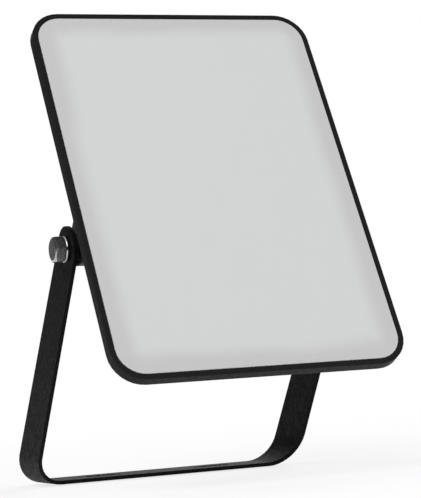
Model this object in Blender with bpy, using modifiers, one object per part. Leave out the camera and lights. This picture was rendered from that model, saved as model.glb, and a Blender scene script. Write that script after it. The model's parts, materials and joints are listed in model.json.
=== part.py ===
"""LED flood light: a shallow die-cast lamp head that tilts in a swept U bracket.

Metres, +Z up. The origin is the centre of the bracket foot's underside, +X is the
tilt axis and -Y is the side that the light faces. Everything on the lamp head is
built upright around the tilt axis, with the lit face towards -Y, and then leans
back with its parent empty.
"""

import bmesh
import bpy
import math
from mathutils import Matrix, Vector

# Lamp head, seen from the front
PANEL_WIDTH = 0.1506
PANEL_HEIGHT = 0.208
PANEL_CORNER_RADIUS = 0.016
RIM_DEPTH = 0.0058
RIM_LIP = 0.0026
RIM_EDGE_RADIUS = 0.0004

# Where the tilt axis crosses the lamp head
PIVOT_BELOW_CENTRE = 0.0186
PIVOT_BEHIND_FACE = 0.0253
HEAD_LEAN = math.radians(27.7)

# Bracket
BRACKET_INSIDE_PANEL = 0.001
BRACKET_SHEET = 0.002
BRACKET_BEND_RADIUS = 0.0157
BRACKET_EDGE_CHAMFER = 0.0003
ARM_TOP_WIDTH = 0.0236
ARM_ROOT_WIDTH = 0.0268
FOOT_DEPTH = 0.030
ARM_SWEEP = math.radians(37.3)
PIVOT_HEIGHT = 0.1164
PIVOT_ABOVE_ARM_END = 0.0006
FOOT_SLOT_WIDTH = 0.0065
FOOT_SLOT_LENGTH = 0.020
FOOT_SLOT_SPACING = 0.062

# Fits between pieces
TOUCH_GAP = 0.0003
CUT_OVERRUN = 0.002

# Housing casting
BODY_DEPTH = 0.0235
BODY_STEP = 0.002
BODY_SLOPE = 0.008
BODY_EDGE_RADIUS = 0.002
BODY_CORNER_RADIUS = 0.012
FLOOR_THICKNESS = 0.0035
WALL_THICKNESS = 0.0025
SEAT_WIDTH = 0.005
CAVITY_CORNER_RADIUS = 0.009

# Cooling fins
FIN_COUNT = 13
FIN_SIDE_MARGIN = 0.0083
FIN_HEIGHT = 0.0055
FIN_ROOT_WIDTH = 0.0026
FIN_TIP_WIDTH = 0.0015
FIN_LENGTH = 0.170
FIN_ROOT_DEPTH = 0.001

# Pivot ears
EAR_RADIUS = 0.0083
EAR_FLARE = math.radians(22)
EAR_THICKNESS = 0.016
EAR_REACH = 0.0184
EAR_CHAMFER = 0.0006

# Pivot bolts and their washers
BOLT_RADIUS = 0.004
BOLT_LENGTH = 0.020
BOLT_ACROSS_FLATS = 0.012
BOLT_HEAD_HEIGHT = 0.0049
BOLT_HEAD_TURN = math.radians(35)
BOLT_CROWN = 0.0009
BOLT_TIP_CHAMFER = 0.0008
BOLT_HOLE_RADIUS = 0.0044
LOCK_WASHER_RADIUS = 0.0064
LOCK_WASHER_THICKNESS = 0.0015
LOCK_WASHER_SPLIT = math.radians(9)
LOCK_WASHER_TURN = math.radians(242)
FRICTION_WASHER_RADIUS = 0.0078
FRICTION_WASHER_THICKNESS = 0.0015

# Diffuser and the seal behind it
DIFFUSER_THICKNESS = 0.0025
DIFFUSER_RECESS = 0.0001
DIFFUSER_EDGE_RADIUS = 0.0003
SEAL_THICKNESS = 0.0008
SEAL_WIDTH = 0.004

# Light board
BOARD_THICKNESS = 0.0016
BOARD_CORNER_RADIUS = 0.004
BOARD_SIDE_MARGIN = 0.003
BOARD_TOP_MARGIN = 0.003
BOARD_BOTTOM_MARGIN = 0.014
REFLECTOR_THICKNESS = 0.0008
REFLECTOR_MARGIN = 0.001
CHIP_WIDTH = 0.0035
CHIP_HEIGHT = 0.0028
CHIP_THICKNESS = 0.0008
CHIP_WINDOW_MARGIN = 0.0008
CHIP_COLUMNS = 6
CHIP_ROWS = 9
CHIP_SIDE_INSET = 0.012
CHIP_END_INSET = 0.0145

# Bare patch of the board that carries the supply electronics
PATCH_WIDTH = 0.076
PATCH_HEIGHT = 0.040

# Board screws
BOARD_SCREW_RADIUS = 0.0015
BOARD_SCREW_HEAD_RADIUS = 0.0028
BOARD_SCREW_HEAD_HEIGHT = 0.0019
BOARD_SCREW_LENGTH = 0.0055
BOARD_SCREW_INSET = 0.0045
BOARD_SCREW_END_INSET = 0.0075
BOARD_SCREW_ROWS = 3
MIDDLE_SCREW_ROWS_UP_SHARES = (2.5, -0.5)
CROSS_ARM_SHARE = 1.2
CROSS_WIDTH_SHARE = 0.32
CROSS_DEPTH_SHARE = 0.6

# Supply electronics on the board
ENTRY_ABOVE_BOARD_EDGE = 0.01565
ENTRY_HOLE_RADIUS = 0.0055
TERMINAL_WIDTH = 0.0165
TERMINAL_HEIGHT = 0.008
TERMINAL_THICKNESS = 0.009
TERMINAL_POLES = 3
TERMINAL_ABOVE_ENTRY = 0.016
TERMINAL_SCREW_RADIUS = 0.0015
TERMINAL_SCREW_HEIGHT = 0.002
TERMINAL_WELL_DEPTH = 0.0035
TERMINAL_MOUTH_RADIUS = 0.0016
TERMINAL_MOUTH_DEPTH = 0.005
RECTIFIER_WIDTH = 0.0085
RECTIFIER_HEIGHT = 0.0065
RECTIFIER_THICKNESS = 0.0026
RECTIFIER_ASIDE = 0.024
DRIVER_WIDTH = 0.005
DRIVER_HEIGHT = 0.004
DRIVER_THICKNESS = 0.0015
DRIVER_COUNT = 3
DRIVER_PITCH = 0.0075
DRIVER_ASIDE = 0.024
FUSE_RADIUS = 0.0022
FUSE_LENGTH = 0.010
FUSE_CAP_LENGTH = 0.0025
FUSE_CAP_STEP = 0.0002
VARISTOR_RADIUS = 0.0045
VARISTOR_THICKNESS = 0.0035
COMPONENT_ASIDE = 0.022
COMPONENT_EDGE = 0.0003

# Earth screw and ring terminal beside the board
EARTH_ASIDE = 0.024
EARTH_BELOW_BOARD = 0.0068
EARTH_SCREW_RADIUS = 0.002
EARTH_SCREW_HEAD_RADIUS = 0.0034
EARTH_SCREW_HEAD_HEIGHT = 0.0024
EARTH_SCREW_LENGTH = 0.0042
RING_RADIUS = 0.0038
RING_THICKNESS = 0.0008
RING_TONGUE_WIDTH = 0.003
RING_TONGUE_LENGTH = 0.007
CRIMP_RADIUS = 0.0017
CRIMP_LENGTH = 0.005

# Cable gland behind the board
GLAND_PAD_RADIUS = 0.0145
GLAND_PAD_HEIGHT = 0.004
GLAND_THREAD_RADIUS = 0.008
GLAND_BORE_RADIUS = 0.0052
GLAND_ACROSS_FLATS = 0.022
GLAND_HEX_HEIGHT = 0.005
GLAND_NECK_HEIGHT = 0.0075
GLAND_WASHER_RADIUS = 0.0118
GLAND_WASHER_THICKNESS = 0.0012
GLAND_MOUTH_RADIUS = 0.0064
GLAND_MOUTH_DEPTH = 0.005
GLAND_NUT_HEIGHT = 0.013
GLAND_NUT_SKIRT = 0.0075
GLAND_NUT_END_RADIUS = 0.0075
GLAND_NUT_OPENING = 0.005
GLAND_NUT_ROOF = 0.002
GLAND_SEAL_OPENING = 0.0041
GLAND_SEAL_HEIGHT = 0.008
GLAND_SEAL_TAPER = 0.0015

# How finely round shapes are divided
CORNER_STEPS = 8
EDGE_STEPS = 3
BEND_STEPS = 10
TURN_STEPS = 28
SMALL_TURN_STEPS = 12
END_STEPS = 10
SMOOTH_ANGLE = math.radians(32)

# Places worked out from the sizes above
FACE_Y = -PIVOT_BEHIND_FACE
CENTRE_Z = PIVOT_BELOW_CENTRE
RIM_BACK_Y = FACE_Y + RIM_DEPTH
BACK_Y = FACE_Y + BODY_DEPTH
FLOOR_Y = BACK_Y - FLOOR_THICKNESS
BODY_FRONT_WIDTH = PANEL_WIDTH - 2 * BODY_STEP
BODY_FRONT_HEIGHT = PANEL_HEIGHT - 2 * BODY_STEP
BODY_BACK_WIDTH = BODY_FRONT_WIDTH - 2 * BODY_SLOPE
BODY_BACK_HEIGHT = BODY_FRONT_HEIGHT - 2 * BODY_SLOPE
RECESS_WIDTH = PANEL_WIDTH - 2 * RIM_LIP
RECESS_HEIGHT = PANEL_HEIGHT - 2 * RIM_LIP
RECESS_CORNER_RADIUS = PANEL_CORNER_RADIUS - RIM_LIP
DIFFUSER_FRONT_Y = FACE_Y + DIFFUSER_RECESS
DIFFUSER_BACK_Y = DIFFUSER_FRONT_Y + DIFFUSER_THICKNESS
SEAL_FRONT_Y = DIFFUSER_BACK_Y + TOUCH_GAP
SEAL_BACK_Y = SEAL_FRONT_Y + SEAL_THICKNESS
SEAT_Y = SEAL_BACK_Y + TOUCH_GAP
FIN_PITCH = (BODY_BACK_WIDTH - 2 * FIN_SIDE_MARGIN) / (FIN_COUNT - 1)
FLOOR_WIDTH = BODY_BACK_WIDTH - 2 * WALL_THICKNESS
FLOOR_HEIGHT = BODY_BACK_HEIGHT - 2 * WALL_THICKNESS
BOARD_WIDTH = FLOOR_WIDTH - 2 * BOARD_SIDE_MARGIN
BOARD_HEIGHT = FLOOR_HEIGHT - BOARD_TOP_MARGIN - BOARD_BOTTOM_MARGIN
BOARD_BACK_Y = FLOOR_Y - TOUCH_GAP
BOARD_FRONT_Y = BOARD_BACK_Y - BOARD_THICKNESS
BOARD_Z = CENTRE_Z + (BOARD_BOTTOM_MARGIN - BOARD_TOP_MARGIN) / 2
CHIP_COLUMN_PITCH = (BOARD_WIDTH - 2 * CHIP_SIDE_INSET) / (CHIP_COLUMNS - 1)
CHIP_ROW_PITCH = (BOARD_HEIGHT - 2 * CHIP_END_INSET) / (CHIP_ROWS - 1)
REFLECTOR_BACK_Y = BOARD_FRONT_Y - TOUCH_GAP
REFLECTOR_FRONT_Y = REFLECTOR_BACK_Y - REFLECTOR_THICKNESS
BRACKET_HALF_WIDTH = PANEL_WIDTH / 2 - BRACKET_INSIDE_PANEL
ARM_INNER_X = BRACKET_HALF_WIDTH - BRACKET_SHEET
EAR_FACE_X = ARM_INNER_X - FRICTION_WASHER_THICKNESS - 2 * TOUCH_GAP
BOLT_SEAT_X = BRACKET_HALF_WIDTH + LOCK_WASHER_THICKNESS + 2 * TOUCH_GAP
ARM_ROOT_DEPTH = ARM_ROOT_WIDTH / math.cos(ARM_SWEEP)
ARM_TOP_DEPTH = ARM_TOP_WIDTH / math.cos(ARM_SWEEP)
ARM_END_RADIUS = ARM_TOP_WIDTH / 2
ARM_END_Z = PIVOT_HEIGHT - PIVOT_ABOVE_ARM_END
ARM_END_Y = -math.tan(ARM_SWEEP) * (ARM_END_Z - BRACKET_SHEET / 2)
ARM_TAPER_END_Z = ARM_END_Z - ARM_END_RADIUS * math.sin(ARM_SWEEP)
PIVOT_Y = -math.tan(ARM_SWEEP) * (PIVOT_HEIGHT - BRACKET_SHEET / 2)
BOARD_BOTTOM_Z = BOARD_Z - BOARD_HEIGHT / 2
PATCH_TOP_Z = BOARD_BOTTOM_Z + PATCH_HEIGHT
EARTH_Z = BOARD_BOTTOM_Z - EARTH_BELOW_BOARD
ENTRY_Z = BOARD_BOTTOM_Z + ENTRY_ABOVE_BOARD_EDGE
TERMINAL_Z = ENTRY_Z + TERMINAL_ABOVE_ENTRY
GLAND_PAD_Y = BACK_Y + GLAND_PAD_HEIGHT
GLAND_HEX_Y = GLAND_PAD_Y + GLAND_WASHER_THICKNESS + 2 * TOUCH_GAP
GLAND_NECK_Y = GLAND_HEX_Y + GLAND_HEX_HEIGHT
GLAND_NUT_Y = GLAND_NECK_Y + TOUCH_GAP
ROUND_MERGE = 0.00001


def clear_scene():
    for old in list(bpy.data.objects):
        bpy.data.objects.remove(old, do_unlink=True)


def new_collection(name):
    collection = bpy.data.collections.new(name)
    bpy.context.scene.collection.children.link(collection)
    return collection


def photo_colour(red, green, blue):
    """A colour read by eye off the photo, 0 to 255, as the shader wants it."""
    def linear(value):
        share = value / 255
        if share <= 0.04045:
            return share / 12.92
        return ((share + 0.055) / 1.055) ** 2.4
    return (linear(red), linear(green), linear(blue), 1.0)


def new_material(name, colour, roughness, metallic):
    material = bpy.data.materials.new(name)
    material.use_nodes = True
    material.diffuse_color = colour
    shader = material.node_tree.nodes["Principled BSDF"]
    shader.inputs["Base Color"].default_value = colour
    shader.inputs["Roughness"].default_value = roughness
    shader.inputs["Metallic"].default_value = metallic
    return material


def object_from_bmesh(name, shape, collection):
    mesh = bpy.data.meshes.new(name)
    bmesh.ops.recalc_face_normals(shape, faces=shape.faces)
    shape.to_mesh(mesh)
    shape.free()
    made = bpy.data.objects.new(name, mesh)
    collection.objects.link(made)
    return made


def lofted(name, rings, collection, closed_loop=False):
    """Skin a list of rings that all have the same number of points.

    The ends are capped, or the last ring joins the first in a closed loop.
    """
    shape = bmesh.new()
    loops = []
    for ring in rings:
        loops.append([shape.verts.new(point) for point in ring])
    count = len(loops[0])
    pairs = list(zip(loops, loops[1:]))
    if closed_loop:
        pairs.append((loops[-1], loops[0]))
    for first, second in pairs:
        for index in range(count):
            following = (index + 1) % count
            shape.faces.new((first[index], first[following], second[following], second[index]))
    if not closed_loop:
        shape.faces.new(loops[0])
        shape.faces.new(loops[-1])
    return object_from_bmesh(name, shape, collection)


def rounded_outline(width, height, radius, centre_z):
    """Corner points of an upright rounded rectangle, as (x, z) pairs."""
    points = []
    corners = ((1, 1, 0), (-1, 1, 90), (-1, -1, 180), (1, -1, 270))
    for side, level, start in corners:
        corner_x = side * (width / 2 - radius)
        corner_z = centre_z + level * (height / 2 - radius)
        for step in range(CORNER_STEPS + 1):
            angle = math.radians(start + 90 * step / CORNER_STEPS)
            point_x = corner_x + radius * math.cos(angle)
            point_z = corner_z + radius * math.sin(angle)
            points.append((point_x, point_z))
    return points


def rounded_ring(width, height, radius, y, centre_z=CENTRE_Z):
    outline = rounded_outline(width, height, radius, centre_z)
    return [Vector((x, y, z)) for x, z in outline]


def edge_rings(width, height, corner, y_sharp, inward, edge_radius, rising):
    """Rings of a rounded edge: inward is +1 where the solid lies towards +Y."""
    rings = []
    for step in range(EDGE_STEPS + 1):
        share = step / EDGE_STEPS if rising else 1 - step / EDGE_STEPS
        angle = share * math.pi / 2
        inset = edge_radius * (1 - math.sin(angle))
        depth = edge_radius * (1 - math.cos(angle))
        ring_width = width - 2 * inset
        ring_height = height - 2 * inset
        ring_y = y_sharp + inward * depth
        rings.append(rounded_ring(ring_width, ring_height, corner - inset, ring_y))
    return rings


def box(name, size, centre, collection):
    shape = bmesh.new()
    bmesh.ops.create_cube(shape, size=1.0)
    bmesh.ops.scale(shape, vec=size, verts=shape.verts)
    bmesh.ops.translate(shape, vec=centre, verts=shape.verts)
    return object_from_bmesh(name, shape, collection)


def boxes(name, size, centres, collection):
    shape = bmesh.new()
    for centre in centres:
        cube = bmesh.ops.create_cube(shape, size=1.0)
        bmesh.ops.scale(shape, vec=size, verts=cube["verts"])
        bmesh.ops.translate(shape, vec=centre, verts=cube["verts"])
    return object_from_bmesh(name, shape, collection)


def prism(name, radius, low, high, sides, collection, turn=0.0):
    """A round or many-sided bar on the local Z axis from low to high."""
    shape = bmesh.new()
    middle = Vector((0, 0, (low + high) / 2))
    placing = Matrix.Translation(middle) @ Matrix.Rotation(turn, 4, "Z")
    bmesh.ops.create_cone(
        shape, cap_ends=True, segments=sides, radius1=radius, radius2=radius,
        depth=high - low, matrix=placing)
    return object_from_bmesh(name, shape, collection)


def turned(name, profile, collection, steps=TURN_STEPS, closed=False):
    """Revolve (radius, height) points about local Z, listed down the outer side."""
    mesh = bpy.data.meshes.new(name)
    points = [(radius, 0, height) for radius, height in profile]
    edges = [(index, index + 1) for index in range(len(points) - 1)]
    if closed:
        edges.append((len(points) - 1, 0))
    mesh.from_pydata(points, edges, [])
    made = bpy.data.objects.new(name, mesh)
    collection.objects.link(made)
    screw = made.modifiers.new("Turned", "SCREW")
    screw.axis = "Z"
    screw.angle = 2 * math.pi
    screw.steps = steps
    screw.render_steps = steps
    screw.use_merge_vertices = True
    screw.merge_threshold = ROUND_MERGE
    screw.use_normal_calculate = False
    return made


def combine(target, other, operation):
    modifier = target.modifiers.new(other.name, "BOOLEAN")
    modifier.operation = operation
    modifier.solver = "EXACT"
    modifier.object = other


def mirror_sideways(target, axis):
    """Repeat a piece on the other side of the lamp's middle plane."""
    modifier = target.modifiers.new("Other side", "MIRROR")
    modifier.use_axis = [name == axis for name in "XYZ"]
    modifier.use_mirror_merge = False


def settled_mesh(piece):
    """The piece's final mesh, as a plain mesh of its own."""
    bpy.context.view_layer.update()
    graph = bpy.context.evaluated_depsgraph_get()
    return bpy.data.meshes.new_from_object(piece.evaluated_get(graph))


def repeated(name, seed, places, collection):
    """One object holding a copy of the seed's final mesh at every place."""
    seed_mesh = settled_mesh(seed)
    shape = bmesh.new()
    for place in places:
        known = set(shape.verts)
        shape.from_mesh(seed_mesh)
        added = [vertex for vertex in shape.verts if vertex not in known]
        bmesh.ops.transform(shape, matrix=place, verts=added)
    return object_from_bmesh(name, shape, collection)


def separate_copies(seed, places, material, parts, head):
    """A piece of its own at every named place, all sharing the seed's final mesh."""
    mesh = settled_mesh(seed)
    for name, place in places.items():
        copy = bpy.data.objects.new(name, mesh)
        parts.objects.link(copy)
        finish(copy, material, head)
        copy.matrix_local = place


def both_sides(name):
    """Places that lay a seed's local +Z outwards along each half of the tilt axis."""
    return {
        name + "_left": Matrix.Rotation(-math.pi / 2, 4, "Y"),
        name + "_right": Matrix.Rotation(math.pi / 2, 4, "Y"),
    }


def rearward_places(name, points):
    """Numbered places whose local +Z points along +Y through each (x, z)."""
    upright = Matrix.Rotation(-math.pi / 2, 4, "X")
    places = {}
    for number, (x, z) in enumerate(points, start=1):
        places[f"{name}_{number}"] = Matrix.Translation((x, 0, z)) @ upright
    return places


def face_rearward(piece, x, z):
    """Stand a turned piece's axis along +Y through (x, z) on the lamp head."""
    piece.location = (x, 0, z)
    piece.rotation_euler = (-math.pi / 2, 0, 0)


def face_sideways(piece):
    """Lay a turned piece's axis along the tilt axis, its height along +X."""
    piece.rotation_euler = (0, math.pi / 2, 0)


def finish(piece, material, parent=None):
    piece.data.materials.clear()
    piece.data.materials.append(material)
    for polygon in piece.data.polygons:
        polygon.use_smooth = True
    if parent is not None:
        piece.parent = parent
    for modifier in piece.modifiers:
        if modifier.type == "SCREW":
            modifier.use_smooth_shade = True
    piece.data.set_sharp_from_angle(angle=SMOOTH_ANGLE)


# Bracket

def arm_centre_y(height):
    """Where the swept arm's middle lies at a height of the sheet's mid surface."""
    return -math.tan(ARM_SWEEP) * (height - BRACKET_SHEET / 2)


def strip_depth(height):
    """Front to back size of the strip: the foot, widening through the bend into
    the root of the arm, which then tapers to its rounded end."""
    if height < BRACKET_BEND_RADIUS:
        share = (height - BRACKET_SHEET / 2) / (BRACKET_BEND_RADIUS - BRACKET_SHEET / 2)
        return FOOT_DEPTH + (ARM_ROOT_DEPTH - FOOT_DEPTH) * share
    share = (height - BRACKET_BEND_RADIUS) / (ARM_TAPER_END_Z - BRACKET_BEND_RADIUS)
    return ARM_ROOT_DEPTH + (ARM_TOP_DEPTH - ARM_ROOT_DEPTH) * min(share, 1)


def arm_edges_y(height):
    """Front and rear edge of the arm at a height, rounded off at the top."""
    radius = ARM_END_RADIUS
    above = height - ARM_END_Z
    front = arm_centre_y(height) - strip_depth(height) / 2
    rear = arm_centre_y(height) + strip_depth(height) / 2
    half_chord = math.sqrt(max(radius ** 2 - above ** 2, 0))
    if above > -radius * math.sin(ARM_SWEEP):
        front = ARM_END_Y - half_chord
    if above > radius * math.sin(ARM_SWEEP):
        rear = ARM_END_Y + half_chord
    return front, rear


def bracket_half_path():
    """Mid-surface stations of the right half: x, z and the outward normal."""
    stations = [(0.0, BRACKET_SHEET / 2, 0.0, -1.0)]
    middle_radius = BRACKET_BEND_RADIUS - BRACKET_SHEET / 2
    bend_x = BRACKET_HALF_WIDTH - BRACKET_BEND_RADIUS
    for step in range(BEND_STEPS + 1):
        angle = -math.pi / 2 + math.pi / 2 * step / BEND_STEPS
        across = math.cos(angle)
        upward = math.sin(angle)
        station_x = bend_x + middle_radius * across
        station_z = BRACKET_BEND_RADIUS + middle_radius * upward
        stations.append((station_x, station_z, across, upward))
    arm_x = BRACKET_HALF_WIDTH - BRACKET_SHEET / 2
    radius = ARM_END_RADIUS
    for step in range(2 * END_STEPS):
        angle = -ARM_SWEEP + (math.pi / 2 + ARM_SWEEP) * step / (2 * END_STEPS)
        stations.append((arm_x, ARM_END_Z + radius * math.sin(angle), 1.0, 0.0))
    return stations


def bracket_ring(station):
    """Cross-section of the strip at a station, with its long edges broken."""
    x, z, normal_x, normal_z = station
    front, rear = arm_edges_y(z)
    half = BRACKET_SHEET / 2
    break_size = BRACKET_EDGE_CHAMFER
    section = (
        (front + break_size, half),
        (rear - break_size, half),
        (rear, half - break_size),
        (rear, break_size - half),
        (rear - break_size, -half),
        (front + break_size, -half),
        (front, break_size - half),
        (front, half - break_size),
    )
    return [Vector((x + out * normal_x, y, z + out * normal_z)) for y, out in section]


def foot_slot_cutter(cutters):
    radius = FOOT_SLOT_WIDTH / 2
    straight = FOOT_SLOT_LENGTH / 2 - radius
    outline = []
    for end in (1, -1):
        for step in range(END_STEPS + 1):
            angle = math.pi * step / END_STEPS - end * math.pi / 2
            outline.append((end * straight + radius * math.cos(angle), radius * math.sin(angle)))
    levels = (-CUT_OVERRUN, BRACKET_SHEET + CUT_OVERRUN)
    rings = [[Vector((x, y, level)) for x, y in outline] for level in levels]
    seed = lofted("foot_slot_seed", rings, cutters)
    places = [Matrix.Translation((side * FOOT_SLOT_SPACING / 2, 0, 0)) for side in (-1, 1)]
    return repeated("foot_slots", seed, places, cutters)


def build_bracket(parts, cutters):
    half_path = bracket_half_path()
    mirrored = [(-x, z, -normal_x, normal_z) for x, z, normal_x, normal_z in half_path]
    path = list(reversed(mirrored)) + half_path[1:]
    bracket = lofted("bracket", [bracket_ring(station) for station in path], parts)
    reach = BRACKET_HALF_WIDTH + CUT_OVERRUN
    bore = prism("bracket_bolt_holes", BOLT_HOLE_RADIUS, -reach, reach, TURN_STEPS, cutters)
    face_sideways(bore)
    bore.location = (0, PIVOT_Y, PIVOT_HEIGHT)
    combine(bracket, bore, "DIFFERENCE")
    combine(bracket, foot_slot_cutter(cutters), "DIFFERENCE")
    finish(bracket, new_material("bracket_black", photo_colour(38, 38, 38), 0.55, 0.0))


# Housing

def housing_shell(parts):
    """Rim, step and sloped back of the casting as one solid."""
    rings = edge_rings(
        PANEL_WIDTH, PANEL_HEIGHT, PANEL_CORNER_RADIUS, FACE_Y, 1, RIM_EDGE_RADIUS, True)
    rings += edge_rings(
        PANEL_WIDTH, PANEL_HEIGHT, PANEL_CORNER_RADIUS, RIM_BACK_Y, -1, RIM_EDGE_RADIUS, False)
    front_corner = PANEL_CORNER_RADIUS - BODY_STEP
    rings.append(rounded_ring(BODY_FRONT_WIDTH, BODY_FRONT_HEIGHT, front_corner, RIM_BACK_Y))
    rings += edge_rings(
        BODY_BACK_WIDTH, BODY_BACK_HEIGHT, BODY_CORNER_RADIUS, BACK_Y, -1, BODY_EDGE_RADIUS, False)
    return lofted("housing", rings, parts)


def cavity_cutter(cutters):
    """Diffuser recess, then the sloped room for the light board."""
    mouth_width = RECESS_WIDTH - 2 * SEAT_WIDTH
    mouth_height = RECESS_HEIGHT - 2 * SEAT_WIDTH
    mouth_corner = RECESS_CORNER_RADIUS - SEAT_WIDTH / 2
    before = FACE_Y - CUT_OVERRUN
    rings = [
        rounded_ring(RECESS_WIDTH, RECESS_HEIGHT, RECESS_CORNER_RADIUS, before),
        rounded_ring(RECESS_WIDTH, RECESS_HEIGHT, RECESS_CORNER_RADIUS, SEAT_Y),
        rounded_ring(mouth_width, mouth_height, mouth_corner, SEAT_Y),
        rounded_ring(FLOOR_WIDTH, FLOOR_HEIGHT, CAVITY_CORNER_RADIUS, FLOOR_Y),
    ]
    return lofted("cavity", rings, cutters)


def ear_ring(x, inset):
    """Outline of a pivot ear: a round tip whose sides flare out to the casting."""
    radius = EAR_RADIUS - inset
    widest = math.pi / 2 - EAR_FLARE
    run = EAR_REACH + radius * math.cos(widest)
    root = radius * math.sin(widest) + run * math.tan(EAR_FLARE)
    points = [Vector((x, -EAR_REACH, -root))]
    for step in range(2 * END_STEPS + 1):
        angle = widest * (step / END_STEPS - 1)
        points.append(Vector((x, radius * math.cos(angle), radius * math.sin(angle))))
    points.append(Vector((x, -EAR_REACH, root)))
    return points


def pivot_ears(cutters):
    rings = [
        ear_ring(EAR_FACE_X - EAR_THICKNESS, 0),
        ear_ring(EAR_FACE_X - EAR_CHAMFER, 0),
        ear_ring(EAR_FACE_X, EAR_CHAMFER),
    ]
    ears = lofted("pivot_ears", rings, cutters)
    mirror_sideways(ears, "X")
    return ears


def fin_rings(x, low, high):
    """A tapered fin from low to high, its two ends sloped like its sides."""
    root = BACK_Y - FIN_ROOT_DEPTH
    tip = BACK_Y + FIN_HEIGHT
    rings = []
    for y, width, run_in in ((root, FIN_ROOT_WIDTH, 0), (tip, FIN_TIP_WIDTH, FIN_HEIGHT)):
        left = x - width / 2
        right = x + width / 2
        bottom = low + run_in
        top = high - run_in
        corners = ((left, bottom), (right, bottom), (right, top), (left, top))
        rings.append([Vector((corner_x, y, corner_z)) for corner_x, corner_z in corners])
    return rings


def cooling_fins(cutters):
    """Upright fins across the back; those above the gland pad stop short of it."""
    shape = bmesh.new()
    for index in range(FIN_COUNT):
        x = (index - (FIN_COUNT - 1) / 2) * FIN_PITCH
        low = CENTRE_Z - FIN_LENGTH / 2
        high = CENTRE_Z + FIN_LENGTH / 2
        if abs(x) < GLAND_PAD_RADIUS:
            low = ENTRY_Z + GLAND_PAD_RADIUS + FIN_PITCH / 2
        fin = lofted("fin_seed", fin_rings(x, low, high), cutters)
        shape.from_mesh(fin.data)
        bpy.data.objects.remove(fin, do_unlink=True)
    return object_from_bmesh("cooling_fins", shape, cutters)


def pivot_bore_cutter(cutters):
    bottom = BOLT_SEAT_X - BOLT_LENGTH - TOUCH_GAP
    top = EAR_FACE_X + CUT_OVERRUN
    radius = BOLT_RADIUS + TOUCH_GAP
    bores = prism("pivot_bores", radius, bottom, top, TURN_STEPS, cutters)
    face_sideways(bores)
    mirror_sideways(bores, "Z")
    return bores


def board_screw_places():
    """(x, z) of each board screw: rows down both edges and two on the middle."""
    edge_x = BOARD_WIDTH / 2 - BOARD_SCREW_INSET
    span = BOARD_HEIGHT - 2 * BOARD_SCREW_END_INSET
    places = []
    for side in (-1, 1):
        for row in range(BOARD_SCREW_ROWS):
            share = row / (BOARD_SCREW_ROWS - 1) - 0.5
            places.append((side * edge_x, BOARD_Z + share * span))
    for rows_up_share in MIDDLE_SCREW_ROWS_UP_SHARES:
        places.append((0.0, BOARD_Z + rows_up_share * CHIP_ROW_PITCH))
    return places


def screw_hole_cutter(name, radius, front, back, cutters):
    seed = prism(name + "_seed", radius, front, back, SMALL_TURN_STEPS, cutters)
    places = rearward_places(name, board_screw_places())
    return repeated(name, seed, places.values(), cutters)


def build_housing(parts, cutters, head):
    housing = housing_shell(parts)
    pad = prism(
        "gland_pad", GLAND_PAD_RADIUS, BACK_Y - FIN_ROOT_DEPTH, GLAND_PAD_Y, TURN_STEPS, cutters)
    face_rearward(pad, 0, ENTRY_Z)
    tapped = prism(
        "gland_hole", GLAND_THREAD_RADIUS, FLOOR_Y - CUT_OVERRUN, GLAND_PAD_Y + CUT_OVERRUN,
        TURN_STEPS, cutters)
    face_rearward(tapped, 0, ENTRY_Z)
    board_screw_tip = REFLECTOR_FRONT_Y - TOUCH_GAP + BOARD_SCREW_LENGTH
    screw_holes = screw_hole_cutter(
        "housing_screw_holes", BOARD_SCREW_RADIUS + TOUCH_GAP, FLOOR_Y - CUT_OVERRUN,
        board_screw_tip + TOUCH_GAP, cutters)
    earth_depth = FLOOR_Y - 2 * TOUCH_GAP - RING_THICKNESS + EARTH_SCREW_LENGTH
    earth_hole = prism(
        "earth_hole", EARTH_SCREW_RADIUS + TOUCH_GAP, FLOOR_Y - CUT_OVERRUN, earth_depth,
        SMALL_TURN_STEPS, cutters)
    face_rearward(earth_hole, EARTH_ASIDE, EARTH_Z)
    joined = [pivot_ears(cutters), cooling_fins(cutters), pad]
    cut = [cavity_cutter(cutters), pivot_bore_cutter(cutters), tapped, screw_holes, earth_hole]
    for piece in joined:
        combine(housing, piece, "UNION")
    for piece in cut:
        combine(housing, piece, "DIFFERENCE")
    for piece in joined + cut:
        piece.parent = head
    finish(housing, new_material("housing_black", photo_colour(39, 39, 39), 0.5, 0.0), head)


# Diffuser and seal

def build_diffuser(parts, head):
    width = RECESS_WIDTH - 2 * TOUCH_GAP
    height = RECESS_HEIGHT - 2 * TOUCH_GAP
    corner = RECESS_CORNER_RADIUS - TOUCH_GAP
    rings = edge_rings(
        width, height, corner, DIFFUSER_FRONT_Y, 1, DIFFUSER_EDGE_RADIUS, True)
    rings.append(rounded_ring(width, height, corner, DIFFUSER_BACK_Y))
    diffuser = lofted("diffuser", rings, parts)
    finish(diffuser, new_material("diffuser_opal", photo_colour(211, 213, 212), 0.45, 0.0), head)


def build_seal(parts, head):
    width = RECESS_WIDTH - 2 * TOUCH_GAP
    height = RECESS_HEIGHT - 2 * TOUCH_GAP
    corner = RECESS_CORNER_RADIUS - TOUCH_GAP
    inner_width = width - 2 * SEAL_WIDTH
    inner_height = height - 2 * SEAL_WIDTH
    inner_corner = corner - SEAL_WIDTH / 2
    rings = [
        rounded_ring(width, height, corner, SEAL_FRONT_Y),
        rounded_ring(width, height, corner, SEAL_BACK_Y),
        rounded_ring(inner_width, inner_height, inner_corner, SEAL_BACK_Y),
        rounded_ring(inner_width, inner_height, inner_corner, SEAL_FRONT_Y),
    ]
    seal = lofted("diffuser_seal", rings, parts, closed_loop=True)
    finish(seal, new_material("seal_silicone", photo_colour(120, 120, 118), 0.7, 0.0), head)


# Light board

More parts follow.
